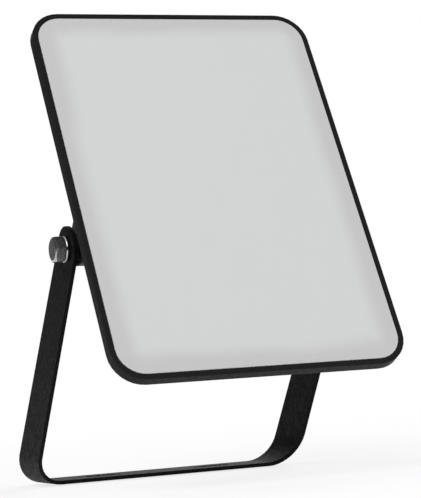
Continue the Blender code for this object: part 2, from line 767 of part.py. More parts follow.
def chip_places():
    """(x, z) of each light chip, with none on the patch for the electronics."""
    places = []
    for row in range(CHIP_ROWS):
        z = BOARD_Z + (row - (CHIP_ROWS - 1) / 2) * CHIP_ROW_PITCH
        for column in range(CHIP_COLUMNS):
            x = (column - (CHIP_COLUMNS - 1) / 2) * CHIP_COLUMN_PITCH
            on_patch = z < PATCH_TOP_Z and abs(x) < PATCH_WIDTH / 2
            if not on_patch:
                places.append((x, z))
    return places


def light_chips(cutters):
    """The chips that are soldered to the board, let into it so that they join."""
    thickness = CHIP_THICKNESS + BOARD_THICKNESS / 2
    middle_y = BOARD_FRONT_Y - CHIP_THICKNESS + thickness / 2
    centres = [(x, middle_y, z) for x, z in chip_places()]
    size = (CHIP_WIDTH, thickness, CHIP_HEIGHT)
    return boxes("light_chips", size, centres, cutters)


def build_board(parts, cutters, head):
    """The aluminium board and the light chips soldered to it."""
    rings = [
        rounded_ring(BOARD_WIDTH, BOARD_HEIGHT, BOARD_CORNER_RADIUS, BOARD_FRONT_Y, BOARD_Z),
        rounded_ring(BOARD_WIDTH, BOARD_HEIGHT, BOARD_CORNER_RADIUS, BOARD_BACK_Y, BOARD_Z),
    ]
    board = lofted("led_board", rings, parts)
    chips = light_chips(cutters)
    chips.parent = head
    combine(board, chips, "UNION")
    front = BOARD_FRONT_Y - CUT_OVERRUN
    back = BOARD_BACK_Y + CUT_OVERRUN
    holes = screw_hole_cutter(
        "board_screw_holes", BOARD_SCREW_RADIUS + TOUCH_GAP, front, back, cutters)
    entry = prism("board_entry", ENTRY_HOLE_RADIUS, front, back, TURN_STEPS, cutters)
    face_rearward(entry, 0, ENTRY_Z)
    for cut in (holes, entry):
        combine(board, cut, "DIFFERENCE")
        cut.parent = head
    finish(board, new_material("board_aluminium", (0.75, 0.76, 0.77, 1.0), 0.4, 0.9), head)


def build_reflector(parts, cutters, head):
    width = BOARD_WIDTH - 2 * REFLECTOR_MARGIN
    height = BOARD_HEIGHT - 2 * REFLECTOR_MARGIN
    corner = BOARD_CORNER_RADIUS - REFLECTOR_MARGIN
    rings = [
        rounded_ring(width, height, corner, REFLECTOR_FRONT_Y, BOARD_Z),
        rounded_ring(width, height, corner, REFLECTOR_BACK_Y, BOARD_Z),
    ]
    reflector = lofted("reflector_sheet", rings, parts)
    middle_y = (REFLECTOR_FRONT_Y + REFLECTOR_BACK_Y) / 2
    through = REFLECTOR_THICKNESS + 2 * CUT_OVERRUN
    window_width = CHIP_WIDTH + 2 * CHIP_WINDOW_MARGIN
    window_height = CHIP_HEIGHT + 2 * CHIP_WINDOW_MARGIN
    window_centres = [(x, middle_y, z) for x, z in chip_places()]
    windows = boxes(
        "chip_windows", (window_width, through, window_height), window_centres, cutters)
    patch_size = (PATCH_WIDTH, through, 2 * PATCH_HEIGHT)
    patch_centre = (0, middle_y, PATCH_TOP_Z - PATCH_HEIGHT)
    patch = box("reflector_patch", patch_size, patch_centre, cutters)
    holes = screw_hole_cutter(
        "reflector_screw_holes", BOARD_SCREW_RADIUS + TOUCH_GAP, middle_y - through / 2,
        middle_y + through / 2, cutters)
    for cut in (windows, patch, holes):
        combine(reflector, cut, "DIFFERENCE")
        cut.parent = head
    finish(reflector, new_material("reflector_white", (0.85, 0.85, 0.84, 1.0), 0.5, 0.0), head)


def pan_head_screw(name, radius, head_radius, head_height, length, seat, cutters):
    """A cross-recess screw whose head stands on seat, pointing towards local +Z."""
    rounding = head_height / 3
    top = seat - head_height
    profile = [
        (0.0, seat + length),
        (radius - rounding, seat + length),
        (radius, seat + length - rounding),
        (radius, seat),
        (head_radius, seat),
        (head_radius, top + rounding),
        (head_radius - rounding, top),
        (0.0, top),
    ]
    screw = turned(name, profile, cutters, SMALL_TURN_STEPS)
    arm = CROSS_ARM_SHARE * head_radius
    width = CROSS_WIDTH_SHARE * head_radius
    depth = CROSS_DEPTH_SHARE * head_height
    for label, size in (("_slot_a", (arm, width, 2 * depth)), ("_slot_b", (width, arm, 2 * depth))):
        combine(screw, box(name + label, size, (0, 0, top), cutters), "DIFFERENCE")
    return screw


def build_board_screws(parts, cutters, head):
    seat = REFLECTOR_FRONT_Y - TOUCH_GAP
    seed = pan_head_screw(
        "board_screw_seed", BOARD_SCREW_RADIUS, BOARD_SCREW_HEAD_RADIUS,
        BOARD_SCREW_HEAD_HEIGHT, BOARD_SCREW_LENGTH, seat, cutters)
    steel = new_material("screw_steel", (0.55, 0.55, 0.56, 1.0), 0.3, 1.0)
    separate_copies(seed, rearward_places("board_screw", board_screw_places()), steel, parts, head)


# Supply electronics

def component(name, size, x, z, parts):
    """A bevelled block that stands on the board's front."""
    centre_y = BOARD_FRONT_Y - TOUCH_GAP - size[1] / 2
    block = box(name, size, (x, centre_y, z), parts)
    bevel = block.modifiers.new("Edges", "BEVEL")
    bevel.width = COMPONENT_EDGE
    bevel.segments = 1
    return block


def terminal_poles():
    """(x, z) of each clamp in the terminal block."""
    pitch = TERMINAL_WIDTH / TERMINAL_POLES
    middle = (TERMINAL_POLES - 1) / 2
    return [((index - middle) * pitch, TERMINAL_Z) for index in range(TERMINAL_POLES)]


def build_terminal_block(parts, cutters, head):
    size = (TERMINAL_WIDTH, TERMINAL_THICKNESS, TERMINAL_HEIGHT)
    block = component("terminal_block", size, 0, TERMINAL_Z, parts)
    front = BOARD_FRONT_Y - TOUCH_GAP - TERMINAL_THICKNESS
    well = prism(
        "terminal_well_seed", TERMINAL_SCREW_RADIUS + TOUCH_GAP, front - CUT_OVERRUN,
        front + TERMINAL_WELL_DEPTH, SMALL_TURN_STEPS, cutters)
    mouth_z = TERMINAL_Z - TERMINAL_HEIGHT / 2
    mouth = prism(
        "terminal_mouth_seed", TERMINAL_MOUTH_RADIUS, mouth_z - CUT_OVERRUN,
        mouth_z + TERMINAL_MOUTH_DEPTH, SMALL_TURN_STEPS, cutters)
    mouth_y = BOARD_FRONT_Y - TOUCH_GAP - TERMINAL_THICKNESS / 3
    well_places = rearward_places("terminal_well", terminal_poles())
    mouth_places = [Matrix.Translation((x, mouth_y, 0)) for x, z in terminal_poles()]
    wells = repeated("terminal_wells", well, well_places.values(), cutters)
    mouths = repeated("terminal_mouths", mouth, mouth_places, cutters)
    for cut in (wells, mouths):
        combine(block, cut, "DIFFERENCE")
        cut.parent = head
    finish(block, new_material("terminal_white", (0.8, 0.8, 0.78, 1.0), 0.5, 0.0), head)


def build_terminal_screws(parts, cutters, head):
    well_floor = BOARD_FRONT_Y - TOUCH_GAP - TERMINAL_THICKNESS + TERMINAL_WELL_DEPTH
    back = well_floor - TOUCH_GAP
    front = back - TERMINAL_SCREW_HEIGHT
    seed = prism(
        "terminal_screw_seed", TERMINAL_SCREW_RADIUS, front, back, SMALL_TURN_STEPS, cutters)
    slot_size = (
        2 * TERMINAL_SCREW_RADIUS + CUT_OVERRUN, CROSS_WIDTH_SHARE * TERMINAL_SCREW_RADIUS,
        CROSS_DEPTH_SHARE * TERMINAL_SCREW_HEIGHT)
    combine(seed, box("terminal_slot", slot_size, (0, 0, front), cutters), "DIFFERENCE")
    brass = new_material("terminal_brass", (0.6, 0.45, 0.2, 1.0), 0.35, 1.0)
    places = rearward_places("terminal_screw", terminal_poles())
    separate_copies(seed, places, brass, parts, head)


def build_rectifier(parts, head):
    size = (RECTIFIER_WIDTH, RECTIFIER_THICKNESS, RECTIFIER_HEIGHT)
    block = component("bridge_rectifier", size, -RECTIFIER_ASIDE, TERMINAL_Z, parts)
    finish(block, new_material("rectifier_black", (0.03, 0.03, 0.03, 1.0), 0.5, 0.0), head)


def build_drivers(parts, head):
    size = (DRIVER_WIDTH, DRIVER_THICKNESS, DRIVER_HEIGHT)
    black = new_material("driver_black", (0.025, 0.025, 0.027, 1.0), 0.45, 0.0)
    for index in range(DRIVER_COUNT):
        x = DRIVER_ASIDE + (index - (DRIVER_COUNT - 1) / 2) * DRIVER_PITCH
        finish(component(f"driver_chip_{index + 1}", size, x, TERMINAL_Z, parts), black, head)


def build_fuse(parts, head):
    cap = FUSE_RADIUS + FUSE_CAP_STEP
    half = FUSE_LENGTH / 2
    shoulder = half - FUSE_CAP_LENGTH
    profile = [
        (0.0, half), (cap, half), (cap, shoulder), (FUSE_RADIUS, shoulder),
        (FUSE_RADIUS, -shoulder), (cap, -shoulder), (cap, -half), (0.0, -half),
    ]
    fuse = turned("fuse", profile, parts, SMALL_TURN_STEPS)
    fuse.location = (-COMPONENT_ASIDE, BOARD_FRONT_Y - TOUCH_GAP - cap, ENTRY_Z)
    face_sideways(fuse)
    finish(fuse, new_material("fuse_ceramic", (0.7, 0.68, 0.62, 1.0), 0.4, 0.0), head)


def build_varistor(parts, head):
    half = VARISTOR_THICKNESS / 2
    rounding = half / 2
    profile = [
        (0.0, half), (VARISTOR_RADIUS - rounding, half), (VARISTOR_RADIUS, half - rounding),
        (VARISTOR_RADIUS, rounding - half), (VARISTOR_RADIUS - rounding, -half), (0.0, -half),
    ]
    varistor = turned("varistor", profile, parts, SMALL_TURN_STEPS)
    varistor.location = (COMPONENT_ASIDE, BOARD_FRONT_Y - TOUCH_GAP - VARISTOR_RADIUS, ENTRY_Z)
    finish(varistor, new_material("varistor_blue", (0.05, 0.12, 0.35, 1.0), 0.4, 0.0), head)


# Earth connection

def build_earth_lug(parts, cutters, head):
    """Ring terminal under the earth screw, its crimp pointing at the cable entry."""
    back = FLOOR_Y - TOUCH_GAP
    front = back - RING_THICKNESS
    lug = prism("earth_lug", RING_RADIUS, front, back, TURN_STEPS, parts)
    tongue_size = (RING_TONGUE_LENGTH, RING_TONGUE_WIDTH, RING_THICKNESS)
    tongue_x = -RING_RADIUS / 2 - RING_TONGUE_LENGTH / 2
    tongue_centre = (tongue_x, 0, (front + back) / 2)
    tongue = box("earth_tongue", tongue_size, tongue_centre, cutters)
    crimp = prism(
        "earth_crimp", CRIMP_RADIUS, -CRIMP_LENGTH / 2, CRIMP_LENGTH / 2, SMALL_TURN_STEPS, cutters)
    face_sideways(crimp)
    crimp.location = (tongue_x - RING_TONGUE_LENGTH / 2, 0, back - CRIMP_RADIUS)
    hole = prism(
        "earth_lug_hole", EARTH_SCREW_RADIUS + TOUCH_GAP, front - CUT_OVERRUN,
        back + CUT_OVERRUN, SMALL_TURN_STEPS, cutters)
    combine(lug, tongue, "UNION")
    combine(lug, crimp, "UNION")
    combine(lug, hole, "DIFFERENCE")
    for piece in (tongue, crimp, hole):
        piece.parent = lug
    face_rearward(lug, EARTH_ASIDE, EARTH_Z)
    finish(lug, new_material("earth_lug_tin", (0.65, 0.65, 0.62, 1.0), 0.3, 1.0), head)


def build_earth_screw(parts, cutters, head):
    seat = FLOOR_Y - 2 * TOUCH_GAP - RING_THICKNESS
    seed = pan_head_screw(
        "earth_screw_seed", EARTH_SCREW_RADIUS, EARTH_SCREW_HEAD_RADIUS,
        EARTH_SCREW_HEAD_HEIGHT, EARTH_SCREW_LENGTH - TOUCH_GAP, seat, cutters)
    upright = Matrix.Rotation(-math.pi / 2, 4, "X")
    place = Matrix.Translation((EARTH_ASIDE, 0, EARTH_Z)) @ upright
    brass = new_material("earth_screw_brass", (0.6, 0.47, 0.22, 1.0), 0.3, 1.0)
    separate_copies(seed, {"earth_screw": place}, brass, parts, head)


# Cable gland

def gland_ring(name, outer, inner, low, high, parts):
    profile = [(outer, high), (outer, low), (inner, low), (inner, high)]
    ring = turned(name, profile, parts, closed=True)
    face_rearward(ring, 0, ENTRY_Z)
    return ring


def build_gland_washer(parts, head):
    low = GLAND_PAD_Y + TOUCH_GAP
    high = low + GLAND_WASHER_THICKNESS
    washer = gland_ring(
        "gland_washer", GLAND_WASHER_RADIUS, GLAND_THREAD_RADIUS, low, high, parts)
    finish(washer, new_material("gland_washer_rubber", (0.02, 0.02, 0.02, 1.0), 0.8, 0.0), head)


def build_gland_body(parts, cutters, head):
    corner = GLAND_ACROSS_FLATS / 2 / math.cos(math.pi / 6)
    body = prism("gland_body", corner, GLAND_HEX_Y, GLAND_NECK_Y, 6, parts)
    neck_top = GLAND_NECK_Y + GLAND_NECK_HEIGHT
    shank_end = FLOOR_Y + TOUCH_GAP
    radius = GLAND_THREAD_RADIUS - TOUCH_GAP
    core = prism("gland_core", radius, shank_end, neck_top, TURN_STEPS, cutters)
    bore = prism(
        "gland_bore", GLAND_BORE_RADIUS, shank_end - CUT_OVERRUN, neck_top + CUT_OVERRUN,
        TURN_STEPS, cutters)
    mouth = prism(
        "gland_mouth", GLAND_MOUTH_RADIUS, neck_top - GLAND_MOUTH_DEPTH, neck_top + CUT_OVERRUN,
        TURN_STEPS, cutters)
    combine(body, core, "UNION")
    combine(body, bore, "DIFFERENCE")
    combine(body, mouth, "DIFFERENCE")
    for piece in (core, bore, mouth):
        piece.parent = body
    face_rearward(body, 0, ENTRY_Z)
    finish(body, new_material("gland_black", (0.02, 0.02, 0.02, 1.0), 0.45, 0.0), head)


def build_gland_nut(parts, cutters, head):
    """Hexagon skirt that runs into a domed end with the cord's opening."""
    corner = GLAND_ACROSS_FLATS / 2 / math.cos(math.pi / 6)
    low = GLAND_NUT_Y
    high = low + GLAND_NUT_HEIGHT
    skirt_top = low + GLAND_NUT_SKIRT
    nut = prism("gland_nut", corner, low, high, 6, parts)
    profile = [(0.0, high), (GLAND_NUT_END_RADIUS, high)]
    for step in range(1, END_STEPS // 2 + 1):
        angle = math.pi / 2 * step / (END_STEPS // 2)
        reach = corner - GLAND_NUT_END_RADIUS
        profile_radius = GLAND_NUT_END_RADIUS + reach * math.sin(angle)
        profile_height = skirt_top + (high - skirt_top) * math.cos(angle)
        profile.append((profile_radius, profile_height))
    profile += [(corner, low), (0.0, low)]
    dome = turned("gland_nut_dome", profile, cutters)
    roof = high - GLAND_NUT_ROOF
    inside = prism(
        "gland_nut_inside", GLAND_THREAD_RADIUS, low - CUT_OVERRUN,
        GLAND_NECK_Y + GLAND_NECK_HEIGHT + TOUCH_GAP, TURN_STEPS, cutters)
    throat = prism(
        "gland_nut_throat", GLAND_MOUTH_RADIUS, low, roof, TURN_STEPS, cutters)
    opening = prism(
        "gland_nut_opening", GLAND_NUT_OPENING, low, high + CUT_OVERRUN, TURN_STEPS, cutters)
    combine(nut, dome, "INTERSECT")
    for piece in (inside, throat, opening):
        combine(nut, piece, "DIFFERENCE")
    for piece in (dome, inside, throat, opening):
        piece.parent = nut
    face_rearward(nut, 0, ENTRY_Z)
    finish(nut, new_material("gland_nut_black", (0.022, 0.022, 0.022, 1.0), 0.45, 0.0), head)


def build_gland_seal(parts, head):
    low = GLAND_NECK_Y + GLAND_NECK_HEIGHT - GLAND_MOUTH_DEPTH + TOUCH_GAP
    high = low + GLAND_SEAL_HEIGHT
    outer = GLAND_MOUTH_RADIUS - TOUCH_GAP
    profile = [
        (outer - GLAND_SEAL_TAPER, high),
        (outer, high - GLAND_SEAL_TAPER),
        (outer, low),
        (GLAND_SEAL_OPENING, low),
        (GLAND_SEAL_OPENING, high),
    ]
    seal = turned("gland_seal", profile, parts, closed=True)
    face_rearward(seal, 0, ENTRY_Z)
    finish(seal, new_material("gland_seal_rubber", (0.05, 0.05, 0.05, 1.0), 0.8, 0.0), head)


# Pivot bolts

def build_bolts(parts, cutters, head):
    """Hexagon bolts: the head's corners are turned off to a shallow crown."""
    corner = BOLT_ACROSS_FLATS / 2 / math.cos(math.pi / 6)
    low = BOLT_SEAT_X
    high = low + BOLT_HEAD_HEIGHT
    tip = low - BOLT_LENGTH
    bolt = prism("pivot_bolt_seed", corner, low, high, 6, cutters, BOLT_HEAD_TURN)
    profile = [
        (0.0, high),
        (BOLT_ACROSS_FLATS / 2 - BOLT_CROWN, high),
        (corner, high - BOLT_CROWN),
        (corner, low),
        (0.0, low),
    ]
    crown = turned("bolt_crown", profile, cutters)
    shank_profile = [
        (0.0, low + BOLT_CROWN),
        (BOLT_RADIUS, low + BOLT_CROWN),
        (BOLT_RADIUS, tip + BOLT_TIP_CHAMFER),
        (BOLT_RADIUS - BOLT_TIP_CHAMFER, tip),
        (0.0, tip),
    ]
    shank = turned("bolt_shank", shank_profile, cutters)
    combine(bolt, crown, "INTERSECT")
    combine(bolt, shank, "UNION")
    steel = new_material("bolt_steel", (0.28, 0.28, 0.29, 1.0), 0.25, 1.0)
    separate_copies(bolt, both_sides("pivot_bolt"), steel, parts, head)


def build_lock_washers(parts, cutters, head):
    """Split rings under the bolt heads."""
    low = BRACKET_HALF_WIDTH + TOUCH_GAP
    high = low + LOCK_WASHER_THICKNESS
    inner = BOLT_RADIUS + TOUCH_GAP
    rings = []
    sweep = 2 * math.pi - LOCK_WASHER_SPLIT
    for step in range(TURN_STEPS + 1):
        angle = LOCK_WASHER_TURN + LOCK_WASHER_SPLIT / 2 + sweep * step / TURN_STEPS
        across = math.cos(angle)
        upward = math.sin(angle)
        corners = ((inner, low), (LOCK_WASHER_RADIUS, low), (LOCK_WASHER_RADIUS, high), (inner, high))
        rings.append([Vector((r * across, r * upward, z)) for r, z in corners])
    washer = lofted("lock_washer_seed", rings, cutters)
    steel = new_material("lock_washer_steel", (0.3, 0.3, 0.31, 1.0), 0.35, 1.0)
    separate_copies(washer, both_sides("lock_washer"), steel, parts, head)


def build_friction_washers(parts, cutters, head):
    """Fibre rings that hold the tilt between the ears and the arms."""
    low = EAR_FACE_X + TOUCH_GAP
    high = low + FRICTION_WASHER_THICKNESS
    inner = BOLT_RADIUS + TOUCH_GAP
    profile = [
        (FRICTION_WASHER_RADIUS, high), (FRICTION_WASHER_RADIUS, low), (inner, low), (inner, high)]
    washer = turned("friction_washer_seed", profile, cutters, closed=True)
    fibre = new_material("washer_fibre", (0.018, 0.018, 0.018, 1.0), 0.8, 0.0)
    separate_copies(washer, both_sides("friction_washer"), fibre, parts, head)


def lamp_head_pivot(parts):
    """The tilt axis: everything on the lamp head hangs from this empty."""
    head = bpy.data.objects.new("head_pivot", None)
    parts.objects.link(head)
    head.location = (0, PIVOT_Y, PIVOT_HEIGHT)
    head.rotation_euler = (-HEAD_LEAN, 0, 0)
    return head


def hide_cutters(cutters):
    cutters.hide_render = True
    for piece in cutters.objects:
        piece.hide_render = True
        piece.display_type = "WIRE"


def main():
    clear_scene()
    parts = new_collection("led_flood_light")
    cutters = new_collection("cutters")
    head = lamp_head_pivot(parts)
    build_bracket(parts, cutters)
    build_housing(parts, cutters, head)
    build_diffuser(parts, head)
    build_seal(parts, head)
    build_board(parts, cutters, head)
    build_reflector(parts, cutters, head)
    build_board_screws(parts, cutters, head)
    build_terminal_block(parts, cutters, head)
    build_terminal_screws(parts, cutters, head)
    build_rectifier(parts, head)
    build_drivers(parts, head)
    build_fuse(parts, head)
    build_varistor(parts, head)
    build_earth_lug(parts, cutters, head)
    build_earth_screw(parts, cutters, head)
    build_gland_washer(parts, head)
    build_gland_body(parts, cutters, head)
    build_gland_nut(parts, cutters, head)
    build_gland_seal(parts, head)
    build_bolts(parts, cutters, head)
    build_lock_washers(parts, cutters, head)
    build_friction_washers(parts, cutters, head)
    hide_cutters(cutters)


main()
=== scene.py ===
"""Looks for the LED flood light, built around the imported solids.

Metres, +Z up, the lit side towards -Y. The rounded solids that show are shaded smooth
from copies of their own meshes, and every piece gets a procedural material.
"""

import json
import math
from collections import namedtuple

import bmesh
import bpy
from mathutils import Matrix, Vector

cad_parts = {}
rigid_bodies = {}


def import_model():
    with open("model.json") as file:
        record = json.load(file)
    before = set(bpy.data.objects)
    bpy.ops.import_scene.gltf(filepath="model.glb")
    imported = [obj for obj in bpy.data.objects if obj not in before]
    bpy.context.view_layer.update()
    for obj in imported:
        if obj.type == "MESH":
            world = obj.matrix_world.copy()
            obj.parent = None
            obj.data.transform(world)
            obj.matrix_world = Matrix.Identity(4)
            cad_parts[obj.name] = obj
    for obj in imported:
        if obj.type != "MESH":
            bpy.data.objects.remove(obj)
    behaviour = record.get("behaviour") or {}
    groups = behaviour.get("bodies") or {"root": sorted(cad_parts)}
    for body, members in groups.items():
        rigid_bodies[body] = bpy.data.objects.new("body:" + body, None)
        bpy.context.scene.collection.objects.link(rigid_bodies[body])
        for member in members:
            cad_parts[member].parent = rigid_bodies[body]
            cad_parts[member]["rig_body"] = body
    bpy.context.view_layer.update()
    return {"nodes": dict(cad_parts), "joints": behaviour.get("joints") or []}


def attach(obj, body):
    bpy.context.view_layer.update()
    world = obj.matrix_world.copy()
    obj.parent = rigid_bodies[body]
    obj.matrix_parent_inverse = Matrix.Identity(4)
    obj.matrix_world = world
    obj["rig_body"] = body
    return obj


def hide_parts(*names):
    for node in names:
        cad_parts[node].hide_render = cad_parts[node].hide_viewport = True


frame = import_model()

# Where the lamp head stands: the tilt axis and the lean about it
PIVOT = Vector(frame["joints"][0]["pos_m"])
HEAD_LEAN = math.radians(27.7)

# Radius of the diffuser's corners
DIFFUSER_CORNER = 0.0131

# Camera at the photo's viewpoint
CAMERA_PLACE = (-0.39076, -1.00519, 0.06412)
CAMERA_TURN = (92.877, 3.617, -22.932)
CAMERA_LENS = 146.21
SENSOR_SIZE = 36.0
SHIFT_SIDEWAYS = 0.0008
SHIFT_UP = -0.0019

# Floor and surroundings
SET_MIDDLE = (0, -0.08, 0.12)
FLOOR_SIZE = 8.0
FLOOR_DROP = 0.0006
FLOOR_PAPER = (0.9, 0.9, 0.9, 1)
FLOOR_GLOW_NEAR = 0.78
FLOOR_GLOW_FAR = 1.0
FLOOR_FADE_START = 0.12
FLOOR_FADE_END = 0.8
WHITE = (1, 1, 1, 1)
WORLD_STRENGTH = 0.45
SEEN_WHITE = 1.0

# Soft lamps, and dark cards that black paint and steel mirror
Lamp = namedtuple("Lamp", "name place size power")
LAMPS = (
    Lamp("key", (-1.3, -1.6, 1.9), 1.2, 30),
    Lamp("fill", (1.8, -1.2, 1.2), 1.4, 10),
    Lamp("rear", (1.6, 1.3, 1.8), 1.6, 22),
    Lamp("rear_left", (-1.6, 0.9, 2.0), 1.2, 6),
)
Flag = namedtuple("Flag", "name place width height")
FLAGS = (
    Flag("flag_left", (-1.6, 0.6, 0.9), 3.4, 2.6),
    Flag("flag_behind", (-1.3, 2.2, 0.9), 2.0, 2.6),
    Flag("flag_above", (0.8, -0.9, 1.8), 2.6, 2.6),
)
FLAG_TONE = 20

# Smoothing of the copied solids
SMOOTH_ANGLE = math.radians(34)
FLAT_ANGLE = math.radians(0.4)
WELD = 0.000002
SHADED_SMOOTH = (
    "bracket", "housing", "diffuser", "pivot_bolt_left", "pivot_bolt_right",
    "lock_washer_left", "lock_washer_right", "friction_washer_left", "friction_washer_right",
    "gland_body", "gland_nut", "gland_seal", "gland_washer",
)

# Solids whose sharp edges are broken a little, and by how much
BROKEN_EDGES = {
    "pivot_bolt_left": 0.00018,
    "pivot_bolt_right": 0.00018,
    "lock_washer_left": 0.0007,
    "lock_washer_right": 0.0007,
    "gland_body": 0.0003,
    "gland_nut": 0.0003,
}
BROKEN_EDGE_STEPS = 4
BROKEN_EDGE_ANGLE = math.radians(25)

# Noise gathers round one half, so this part of its range is spread to its full effect
NOISE_LOW = 0.3
NOISE_HIGH = 0.7

# A mix node's colour sockets share their names with its other kinds, so they go by number
MIX_FIRST_COLOUR = 6
MIX_SECOND_COLOUR = 7
MIX_RESULT_COLOUR = 2

# The sRGB curve
SRGB_LINEAR_END = 0.04045
SRGB_LINEAR_SLOPE = 12.92
SRGB_OFFSET = 0.055
SRGB_POWER = 2.4


# Colours

def tone(red, green, blue):
    """A colour from three sRGB tones of 0 to 255."""
    def linear(value):
        share = value / 255
        if share <= SRGB_LINEAR_END:
            return share / SRGB_LINEAR_SLOPE
        return ((share + SRGB_OFFSET) / (1 + SRGB_OFFSET)) ** SRGB_POWER
    return (linear(red), linear(green), linear(blue), 1.0)


def grey(value):
    """A neutral colour from one sRGB tone of 0 to 255."""
    return tone(value, value, value)


# Finishes: two colours and two roughness values that the surface wanders between

Finish = namedtuple("Finish", "low high rough_low rough_high")

# Powder paint: the finish and how much it mirrors
PAINT_CLOUD_SIZE = 0.03
PAINT_PEEL_SIZE = 0.0021
PAINT_PEEL_DETAIL = 1.0
PAINT_PEEL_DEPTH = 0.00010
PAINT_GRAIN_SIZE = 0.0005
PAINT_GRAIN_DEPTH = 0.00003
PAINTS = {
    "housing_black": (Finish(grey(24), grey(29), 0.44, 0.56), 0.09),
    "bracket_black": (Finish(grey(12), grey(16), 0.50, 0.62), 0.062),
}

# Opal sheet: its darker border, which is painted shade along its edge inside the rim, and how
# far the border wanders in and out
OPAL = Finish(tone(198, 198, 198), tone(211, 213, 212), 0.38, 0.46)
OPAL_SPECULAR = 0.3
OPAL_PAINTED_SHADE_START = 0.003
OPAL_PAINTED_SHADE_END = 0.0135
OPAL_PAINTED_SHADE_WANDER = 0.0015
OPAL_CLOUD_SIZE = 0.045
OPAL_GRAIN_SIZE = 0.0009
OPAL_GRAIN_DEPTH = 0.00001

# Bare and plated metals
METAL_BLOTCH_SIZE = 0.0035
METAL_BLOTCH_DETAIL = 3.0
METAL_BLOTCH_DEPTH = 0.00008
METAL_GRAIN_SIZE = 0.00035
METAL_GRAIN_DEPTH = 0.00001
METALS = {
    "bolt_steel": Finish(grey(150), grey(205), 0.24, 0.36),
    "lock_washer_steel": Finish(grey(165), grey(210), 0.28, 0.42),
    "screw_steel": Finish(grey(170), grey(200), 0.25, 0.4),
    "earth_screw_brass": Finish(tone(176, 141, 70), tone(198, 164, 92), 0.25, 0.4),
    "terminal_brass": Finish(tone(180, 146, 76), tone(200, 168, 98), 0.25, 0.4),
    "earth_lug_tin": Finish(grey(175), grey(205), 0.3, 0.45),
    "board_aluminium": Finish(grey(195), grey(212), 0.35, 0.5),
}

# Moulded plastic, rubber and ceramic: the finish and the grain of its mould
Grain = namedtuple("Grain", "size depth")
SPARK_GRAIN = Grain(0.0008, 0.00002)
FIBRE_GRAIN = Grain(0.0004, 0.00004)
MOULDED_CLOUD_SIZE = 0.01
MOULDINGS = {
    "reflector_white": (Finish(grey(232), grey(240), 0.45, 0.6), SPARK_GRAIN),
    "washer_fibre": (Finish(grey(30), grey(42), 0.7, 0.85), FIBRE_GRAIN),
    "seal_silicone": (Finish(grey(112), grey(124), 0.55, 0.7), SPARK_GRAIN),
    "terminal_white": (Finish(grey(226), grey(234), 0.4, 0.5), SPARK_GRAIN),
    "rectifier_black": (Finish(grey(26), grey(34), 0.5, 0.65), SPARK_GRAIN),
    "driver_black": (Finish(grey(24), grey(32), 0.5, 0.65), SPARK_GRAIN),
    "fuse_ceramic": (Finish(grey(214), grey(226), 0.35, 0.5), SPARK_GRAIN),
    "varistor_blue": (Finish(tone(34, 66, 128), tone(44, 80, 146), 0.3, 0.45), SPARK_GRAIN),
    "gland_washer_rubber": (Finish(grey(30), grey(38), 0.7, 0.8), SPARK_GRAIN),
    "gland_black": (Finish(grey(28), grey(36), 0.42, 0.55), SPARK_GRAIN),
    "gland_nut_black": (Finish(grey(28), grey(36), 0.42, 0.55), SPARK_GRAIN),
    "gland_seal_rubber": (Finish(grey(24), grey(32), 0.65, 0.8), SPARK_GRAIN),
}


# Node helpers

def add_node(tree, kind, **settings):
    made = tree.nodes.new(kind)
    for name, value in settings.items():
        setattr(made, name, value)
    return made


def join(tree, source, target):
    tree.links.new(source, target)


def new_material(name, roughness, metallic=0.0):
    material = bpy.data.materials.new(name)
    material.use_nodes = True
    shader = material.node_tree.nodes["Principled BSDF"]
    shader.inputs["Roughness"].default_value = roughness
    shader.inputs["Metallic"].default_value = metallic
    return material, material.node_tree, shader


def object_place(tree):
    return add_node(tree, "ShaderNodeTexCoord").outputs["Object"]


def noise(tree, place, size, detail=2.0):
    """Soft random blotches about size metres across."""
    made = add_node(tree, "ShaderNodeTexNoise")
    made.inputs["Scale"].default_value = 1 / size
    made.inputs["Detail"].default_value = detail
    join(tree, place, made.inputs["Vector"])
    return made.outputs["Fac"]


def maths(tree, operation, first, second=None):
    """One step of arithmetic on one or two values, each a number or a node's output."""
    made = add_node(tree, "ShaderNodeMath", operation=operation)
    for socket, value in zip(made.inputs, (first, second)):
        if isinstance(value, bpy.types.NodeSocket):
            join(tree, value, socket)
        elif value is not None:
            socket.default_value = value
    return made.outputs[0]


def spread(tree, value, from_low, from_high, to_low, to_high):
    """The value's range from_low to from_high, eased over to_low to to_high."""
    made = add_node(tree, "ShaderNodeMapRange", interpolation_type="SMOOTHSTEP")
    join(tree, value, made.inputs["Value"])
    for name, number in (
            ("From Min", from_low), ("From Max", from_high),
            ("To Min", to_low), ("To Max", to_high)):
        made.inputs[name].default_value = number
    return made.outputs["Result"]


def spread_noise(tree, value, low, high):
    return spread(tree, value, NOISE_LOW, NOISE_HIGH, low, high)


def between(tree, share, low, high):
    """A colour that runs from low to high as share runs from 0 to 1."""
    made = add_node(tree, "ShaderNodeMix", data_type="RGBA")
    join(tree, share, made.inputs["Factor"])
    made.inputs[MIX_FIRST_COLOUR].default_value = low
    made.inputs[MIX_SECOND_COLOUR].default_value = high
    return made.outputs[MIX_RESULT_COLOUR]


def colour_and_gloss(tree, shader, finish, colour_share, gloss_noise):
    """Run the colour and the roughness of a finish over the surface."""
    join(tree, between(tree, colour_share, finish.low, finish.high), shader.inputs["Base Color"])
    rough = spread_noise(tree, gloss_noise, finish.rough_low, finish.rough_high)
    join(tree, rough, shader.inputs["Roughness"])


def relief(tree, shader, layers):
    """Stack bumps, each given as its height and how deep it is in metres."""
    normal = None
    for height, depth in layers:
        made = add_node(tree, "ShaderNodeBump")
        made.inputs["Distance"].default_value = depth
        join(tree, height, made.inputs["Height"])
        if normal is not None:
            join(tree, normal, made.inputs["Normal"])
        normal = made.outputs["Normal"]
    join(tree, normal, shader.inputs["Normal"])


# Materials

